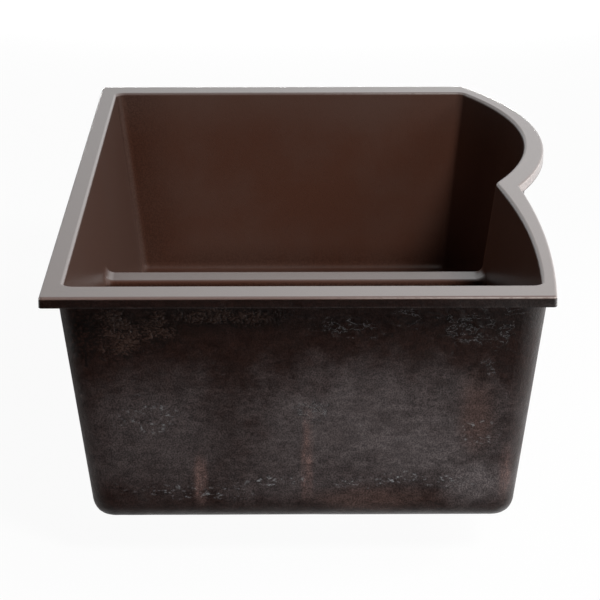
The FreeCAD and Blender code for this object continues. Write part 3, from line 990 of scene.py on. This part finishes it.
@dataclass
class Basin:
    """The cast basin: its sizes, where its marks are, and how it is dressed.

    A lobe is its middle's X and Y and its radius. A mark's range is measured from the edge that it is
    named for.
    """

    front: float = 0.2275
    end: float = 0.395
    large_lobe: Point = (-0.177, -0.2665, 0.493)
    small_lobe: Point = (0.264, -1.4605, 1.657)
    half_wall: float = 0.004
    side_lean: float = math.tan(math.radians(7.5))
    end_lean: float = math.tan(math.radians(5.0))
    divider_x: float = 0.037
    divider_half: float = 0.0165
    divider_drop: float = 0.096
    under_divider: float = 0.103
    ceiling_steep: float = 2.0
    under_floor: float = 0.2165
    round_edge: float = 0.0155
    rim_edge: float = 0.0022
    rim_depth: float = 0.010
    soft: float = 0.0006
    back_lip: Range = (0.009, 0.011)
    crest_side: Range = (-0.004, 0.0)
    crest_above: Range = (-0.008, -0.003)
    crest_below: Range = (0.001, 0.003)
    crest_shine: float = 0.75
    # The front wall's film, partly a painted light on that wall.
    front_film_and_light: Range = (-0.012, -0.007)
    # The rim's outer edge band: wear and a painted highlight.
    worn_and_lit_above: Range = (0.0006, 0.0011)
    worn_and_lit_below: Range = (0.0016, 0.0021)
    # Painted shade on the divider's sides, just under its top.
    divider_shade_above: Range = (0.001, 0.005)
    divider_shade_below: Range = (0.012, 0.060)
    divider_shade_side: Range = (0.008, 0.020)
    # Darker specks near the far corner, by the front wall and the floor.
    corner_specks_front: Range = (-0.085, -0.010)
    corner_specks_floor: Range = (-0.045, -0.010)
    corner_specks_far_end: Range = (0.015, 0.030)
    corner_specks_cover: float = 0.6

    def zones(self) -> Tree:
        """Tells the basin's outside, rim and bowls apart, and where its film and painted light, worn edge
        and painted highlight, painted shade and dark specks are.

        Returns:
            The group, which takes a place.
        """
        outputs = {"Outside": "Float", "Rim": "Float", "Front": "Float", "Worn": "Float", "Grime": "Float"}
        group = Group("basin zones", {"Place": "Vector"}, outputs)
        w = group.wiring
        x, y, z = w.parts(group.inputs["Place"])
        drop = w.product(z, -1.0)
        side = w.product(drop, self.side_lean)
        end = w.product(drop, self.end_lean)
        past_front = w.math("SUBTRACT", side, w.math("ADD", y, self.front + self.half_wall))
        past_end = w.math("SUBTRACT", w.math("ADD", w.math("ABSOLUTE", x), end), self.end + self.half_wall)
        past_lobes = []
        for centre_x, centre_y, radius in (self.large_lobe, self.small_lobe):
            reach = w.length(w.math("SUBTRACT", x, centre_x), w.math("SUBTRACT", y, centre_y))
            past_lobes.append(w.math("SUBTRACT", w.math("ADD", reach, side), radius + self.half_wall))
        past_back = w.math("MINIMUM", *past_lobes)
        past_floor = w.math("SUBTRACT", drop, self.under_floor)
        past_walls = w.most(self.rounded(w, past_front, past_end), self.rounded(w, past_back, past_end))

        deeper = w.math("SUBTRACT", drop, self.divider_drop)
        off = w.math("ABSOLUTE", w.math("SUBTRACT", x, self.divider_x))
        aside = w.math("SUBTRACT", off, self.divider_half)
        widen = w.math("ADD", w.product(deeper, self.end_lean), self.divider_half - self.half_wall)
        ceiling = w.product(w.math("SUBTRACT", drop, self.under_divider), self.ceiling_steep)
        in_hollow = w.math("MINIMUM", w.math("SUBTRACT", widen, off), ceiling)
        sides = (past_walls, past_floor), (past_walls, in_hollow), (past_floor, in_hollow)
        past = w.most(*[self.rounded(w, *pair) for pair in sides])

        lip_foot = w.fade(drop, self.rim_depth - 2 * self.soft, self.rim_depth)
        # The divider's top takes the rim's paler colour, a painted sheen.
        lit_crest = w.product(
            w.fade(aside, *self.crest_side),
            w.span(deeper, *self.crest_above),
            w.fade(deeper, *self.crest_below, self.crest_shine),
            w.fade(past_walls, -self.half_wall / 2, 0.0))
        # The rim zone: a real coat, and a paler colour that is a painted sheen.
        rim = w.most(
            w.fade(drop, self.rim_edge - self.soft, self.rim_edge + self.soft),
            w.product(w.span(past_back, *self.back_lip), lip_foot),
            lit_crest)
        outside = w.product(w.span(past, -self.soft, self.soft), w.math("SUBTRACT", 1.0, rim))
        # The front wall's film, partly a painted light.
        front = w.span(past_front, *self.front_film_and_light)
        # The rim's outer edge: wear and a painted highlight.
        worn_edge_and_highlight = w.product(w.span(drop, *self.worn_and_lit_above), w.fade(drop, *self.worn_and_lit_below))
        # Painted shade just under the divider's top edge.
        below = w.product(
            w.span(deeper, *self.divider_shade_above),
            w.fade(deeper, *self.divider_shade_below),
            w.fade(aside, *self.divider_shade_side))
        # Darker specks near the far corner.
        corner = w.product(
            w.most(w.span(past_front, *self.corner_specks_front), w.span(past_floor, *self.corner_specks_floor)),
            w.fade(w.math("ADD", x, self.end), *self.corner_specks_far_end, self.corner_specks_cover))
        group.give(Outside=outside, Rim=rim, Front=front, Worn=worn_edge_and_highlight, Grime=w.most(below, corner))
        return group.tree

    def rounded(self, w: Wiring, first: Socket, second: Socket) -> Socket:
        """How far a place is past two sides that meet in a rounded edge.

        Args:
            w: the tree's wiring.
            first: how far it is past one side.
            second: how far it is past the other.

        Returns:
            The distance past the rounded corner of the two.
        """
        ends = [w.most(w.math("ADD", side, self.round_edge), 0.0) for side in (first, second)]
        return w.math("SUBTRACT", w.length(*ends), self.round_edge)

    def build(self, effects: Effects) -> None:
        """Dresses the basin.

        Args:
            effects: the shared groups.
        """
        composite = CompositeFinish().material(effects, self.zones())
        dress("sink_body", composite)
        rough = [patch for patch in WALL_PATCHES if patch.raised]
        for number, patch in enumerate(rough, 1):
            piece = self.build_relief(f"end_wall_{patch.flaw.value}_{number}", patch)
            finish_piece(piece, composite)

    def build_relief(self, name: str, patch: WallPatch) -> bpy.types.Object:
        """Models the raised skin of a rough patch, whose edges sink into the end wall.

        Args:
            name: the piece's name.
            patch: where it is and what it shows.

        Returns:
            The piece.
        """
        relief = RELIEFS[patch.flaw]
        half_y, half_z = relief.spread * patch.half_y, relief.spread * patch.half_z
        counts = [max(relief.least_cells, round(2 * half / relief.grid)) for half in (half_z, half_y)]
        out = self.end + 2 * self.half_wall + patch.z * self.end_lean - relief.sunk
        bpy.ops.object.select_all(action="DESELECT")
        bpy.ops.mesh.primitive_grid_add(
            x_subdivisions=counts[0], y_subdivisions=counts[1],
            size=2.0, location=(out, patch.y, patch.z),
            rotation=(0.0, math.pi / 2 + math.atan(self.end_lean), 0.0))
        piece = bpy.context.object
        piece.name = name
        piece.scale = (half_z, half_y, 1.0)
        bpy.ops.object.transform_apply(location=True, rotation=True, scale=True)
        weights = piece.vertex_groups.new(name="lifted")
        for vertex in piece.data.vertices:
            across = (vertex.co.y - patch.y) / half_y
            up = (vertex.co.z - patch.z) / half_z
            weights.add([vertex.index], relief.weight(vertex.co, across, up), "REPLACE")
        piece.scale = (1.0, 1.0 / relief.stretch, 1.0)
        bpy.ops.object.transform_apply(location=False, rotation=False, scale=True)
        for index, texture in enumerate(relief.textures(name)):
            lift = piece.modifiers.new(f"lift_{index}", "DISPLACE")
            lift.texture, lift.texture_coords = texture.texture, "LOCAL"
            lift.strength, lift.mid_level = texture.strength, texture.level
            lift.vertex_group = weights.name
            bpy.ops.object.modifier_apply(modifier=lift.name)
        piece.scale = (1.0, relief.stretch, 1.0)
        bpy.ops.object.transform_apply(location=False, rotation=False, scale=True)
        height = piece.data.attributes.new("relief", "FLOAT", "POINT")
        for vertex in piece.data.vertices:
            out = vertex.co.x - self.end - 2 * self.half_wall - vertex.co.z * self.end_lean
            height.data[vertex.index].value = max(relief.least_mark, 1.0 + out / relief.unit)
        wall = piece.modifiers.new("backing", "SOLIDIFY")
        wall.thickness, wall.offset = relief.backing, -1.0
        bpy.ops.object.modifier_apply(modifier=wall.name)
        return piece


@dataclass(frozen=True)
class Thread:
    """The ridge of a screw thread round an upright wall. Its half width is a share of its pitch."""

    name: str
    radius: float
    low: float
    pitch: float
    turns: int
    depth: float = 0.0006
    half_width: float = 0.42
    steps: int = 72

    def build(self, bowl: str, axis: float) -> bpy.types.Object:
        """Models the ridge: a diamond half sunk in the wall, carried round and up, with its ends closed.

        Args:
            bowl: the first word of the piece's name.
            axis: the X of the wall's middle.

        Returns:
            The piece.
        """
        bpy.ops.object.select_all(action="DESELECT")
        bpy.ops.mesh.primitive_circle_add(vertices=4, radius=1.0, rotation=(math.pi / 2, 0.0, 0.0))
        ridge = bpy.context.object
        ridge.name = f"{bowl}_{self.name}"
        ridge.scale = (self.depth, self.half_width * self.pitch, 1.0)
        bpy.ops.object.transform_apply(location=False, rotation=True, scale=True)
        bpy.ops.object.mode_set(mode="EDIT")
        bpy.ops.mesh.select_all(action="SELECT")
        bpy.ops.transform.translate(value=(self.radius, 0.0, 0.0))
        bpy.ops.object.mode_set(mode="OBJECT")
        screw = ridge.modifiers.new("screw", "SCREW")
        screw.axis, screw.angle, screw.screw_offset = "Z", 2 * math.pi, self.pitch
        screw.iterations, screw.steps, screw.render_steps = self.turns, self.steps, self.steps
        bpy.ops.object.modifier_apply(modifier=screw.name)
        bpy.ops.object.mode_set(mode="EDIT")
        bpy.ops.mesh.select_all(action="SELECT")
        bpy.ops.mesh.fill_holes(sides=4)
        bpy.ops.mesh.select_all(action="SELECT")
        bpy.ops.mesh.normals_make_consistent(inside=False)
        bpy.ops.transform.translate(value=(axis, 0.0, self.low))
        bpy.ops.object.mode_set(mode="OBJECT")
        return ridge


THREADS = (
    Thread("cup_thread", radius=0.0430, low=-0.2508, pitch=0.0028, turns=3),
    Thread("outlet_thread", radius=0.0235, low=-0.2710, pitch=0.0020, turns=6),
)


@dataclass
class BasketStrainer:
    """One bowl's strainer: where it is, and how its pieces are dressed."""

    bowl: Bowl

    def node(self, piece: str) -> str:
        """The CAD node of one of this strainer's pieces."""
        return f"{self.bowl.value}_{piece}"

    @property
    def axis(self) -> float:
        """The X of the strainer's middle."""
        low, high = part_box(self.node("strainer_body"))
        return (low.x + high.x) / 2

    def build(self, effects: Effects, moulded: dict[str, Material]) -> None:
        """Dresses the strainer.

        Args:
            effects: the shared groups.
            moulded: the finishes of the pieces that aren't metal, by piece.
        """
        steels = {
            STRAINER_STEEL: ("strainer_body", "strainer_outlet", "strainer_spider"),
            BASKET_STEEL: ("basket_cup",),
            POST_CHROME: ("basket_post",),
            RETAINER_STEEL: ("stopper_retainer",),
            CLIP_STEEL: ("spring_clip",),
        }
        materials = {finish: finish.material(effects, self.axis) for finish in steels}
        for finish, pieces in steels.items():
            for piece in pieces:
                dress(self.node(piece), materials[finish])
        for thread in THREADS:
            ridge = thread.build(self.bowl.value, self.axis)
            finish_piece(ridge, materials[STRAINER_STEEL])
        for piece, material in moulded.items():
            dress(self.node(piece), material)


@dataclass(frozen=True)
class Lamp:
    """A soft rectangular lamp that faces a point."""

    name: str
    place: Point
    target: Point
    size: tuple[float, float]
    watts: float
    mirrored: bool = True

    def build(self) -> None:
        """Hangs the lamp."""
        data = bpy.data.lights.new(self.name, "AREA")
        data.shape = "RECTANGLE"
        data.size, data.size_y = self.size
        data.energy = self.watts
        lamp = bpy.data.objects.new(self.name, data)
        lamp.location = self.place
        lamp.rotation_mode = "QUATERNION"
        way = Vector(self.target) - Vector(self.place)
        lamp.rotation_quaternion = way.to_track_quat("-Z", "Y")
        lamp.visible_camera = False
        lamp.visible_glossy = self.mirrored
        bpy.context.scene.collection.objects.link(lamp)


SINK_MIDDLE: Point = (0.0, 0.0, -0.1)
LAMPS = (
    Lamp("key", (2.40, 1.27, 2.00), SINK_MIDDLE, (0.7, 0.7), watts=92.0, mirrored=False),
    Lamp("side", (0.2, 2.3, 1.7), SINK_MIDDLE, (1.0, 1.0), watts=32.0, mirrored=False),
    Lamp("right", (0.1, 1.05, -0.14), (0.1, 0.2, -0.14), (1.4, 0.22), watts=10.5),
    Lamp("front", (-0.2, -2.4, -0.13), (-0.2, -0.2, -0.13), (1.6, 0.2), watts=26.0),
    Lamp("rear", (-2.6, 0.0, -0.13), (-0.4, 0.0, -0.13), (1.2, 0.2), watts=21.0),
    Lamp("near", (2.5, -0.60, -0.13), (0.4, 0.0, -0.12), (1.2, 0.2), watts=16.0, mirrored=False),
)


@dataclass
class Studio:
    """The pale floor, the lamps, the white surroundings and the camera."""

    floor_half: float = 9.0
    bright_side: Point = (-0.75, 0.35, 0.55)
    bright_span: Range = (-0.25, 0.65)
    sky: float = 0.06
    dim_sky: float = 0.005
    backdrop: float = 1.0
    backdrop_left: float = 0.58
    backdrop_span: Range = (-0.14, 0.14)
    dim_backdrop: float = 0.02
    floor_colour: Colour = (0.80, 0.80, 0.80)
    floor_glow: float = 0.95
    table_edge: Range = (0.34, 0.46)
    table_right: Range = (0.24, 0.42)
    table_left: Span = (-0.50, 0.10, 0.15, 1.0)
    table: float = 1.0
    past_table: float = 0.015
    camera_place: Point = (2.541, -0.039, 0.637)
    pitch: float = math.radians(16.86)
    yaw: float = math.radians(0.5)
    focal_pixels: float = 2563.0
    image_pixels: float = 600.0
    sensor: float = 36.0
    far_clip: float = 100.0

    def build_world(self) -> None:
        """White surroundings, mirrored behind the sink, on its right and above, and a faint light."""
        world = bpy.data.worlds.new("studio")
        bpy.context.scene.world = world
        world.use_nodes = True
        world.node_tree.nodes.clear()
        w = Wiring(world.node_tree)
        ray = w.add("LightPath").outputs
        way = w.add("TexCoord").outputs["Generated"]
        ways = {0: way, 1: Vector(self.bright_side).normalized()}
        facing = w.add("VectorMath", ways, operation="DOT_PRODUCT").outputs["Value"]
        bright = w.span(facing, *self.bright_span)
        sheet = w.span(w.parts(way)[1], *self.backdrop_span, self.backdrop_left, self.backdrop)
        mirrored = w.between(bright, self.dim_backdrop, sheet)
        strength = w.between(bright, self.dim_sky, self.sky)
        reflected = w.most(ray["Is Glossy Ray"], ray["Is Transmission Ray"])
        strength = w.between(reflected, strength, mirrored)
        strength = w.between(ray["Is Camera Ray"], strength, 1.0)
        background = w.add("Background", {"Color": WHITE, "Strength": strength})
        w.add("OutputWorld", {"Surface": background.outputs[0]})

    def build_floor(self) -> None:
        """A plain white floor under the part, with a soft shadow. Its mirror image ends near the part."""
        bpy.ops.object.select_all(action="DESELECT")
        bpy.ops.mesh.primitive_plane_add(size=2 * self.floor_half, location=(0, 0, CAD_BOX[0].z))
        floor = bpy.context.object
        floor.name = "floor"
        material = bpy.data.materials.new("floor")
        material.use_nodes = True
        material.node_tree.nodes.clear()
        w = Wiring(material.node_tree)
        ray = w.add("LightPath").outputs
        x, y, _ = w.parts(w.add("TexCoord").outputs["Object"])
        near = w.span(x, *self.table_edge, self.table, self.past_table)
        near = w.most(near, w.span(y, *self.table_right, self.past_table, self.table))
        near = w.product(near, w.span(y, *self.table_left))
        paint = w.add("BsdfDiffuse", {"Color": self.floor_colour})
        strength = w.between(ray["Is Camera Ray"], near, 1.0)
        white = w.add("Emission", {"Color": WHITE, "Strength": strength})
        seen = w.product(ray["Is Camera Ray"], self.floor_glow)
        glow = w.most(seen, ray["Is Glossy Ray"], ray["Is Transmission Ray"])
        mixed = w.add("MixShader", {0: glow, 1: paint.outputs[0], 2: white.outputs[0]})
        w.add("OutputMaterial", {"Surface": mixed.outputs[0]})
        floor.data.materials.append(material)

    def build_camera(self) -> None:
        """The camera, where the photo was taken from."""
        data = bpy.data.cameras.new("camera")
        data.sensor_width = self.sensor
        data.lens = self.focal_pixels / self.image_pixels * self.sensor
        data.clip_end = self.far_clip
        camera = bpy.data.objects.new("camera", data)
        level = math.cos(self.pitch)
        look = Vector((-level * math.cos(self.yaw), level * math.sin(self.yaw), -math.sin(self.pitch)))
        camera.location = self.camera_place
        camera.rotation_mode = "QUATERNION"
        camera.rotation_quaternion = look.to_track_quat("-Z", "Y")
        bpy.context.scene.collection.objects.link(camera)
        bpy.context.scene.camera = camera

    def build(self) -> None:
        """Sets up the studio."""
        bpy.context.scene.view_settings.view_transform = "Standard"
        self.build_world()
        self.build_floor()
        self.build_camera()
        for lamp in LAMPS:
            lamp.build()


def main() -> None:
    """Builds the sink's looks and the studio."""
    logging.basicConfig(level=logging.INFO, format="%(name)s %(message)s")
    effects = Effects()
    Basin().build(effects)
    finishes = {
        "flange_gasket": GASKET_FOAM,
        "sink_washer": WASHER_RUBBER,
        "friction_ring": RING_CARD,
        "lock_nut": NUT_PLASTIC,
        "basket_stopper": STOPPER_RUBBER,
    }
    moulded = {piece: finish.material(effects) for piece, finish in finishes.items()}
    for bowl in Bowl:
        BasketStrainer(bowl).build(effects, moulded)
    Studio().build()
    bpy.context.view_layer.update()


if __name__ == "__main__":
    main()
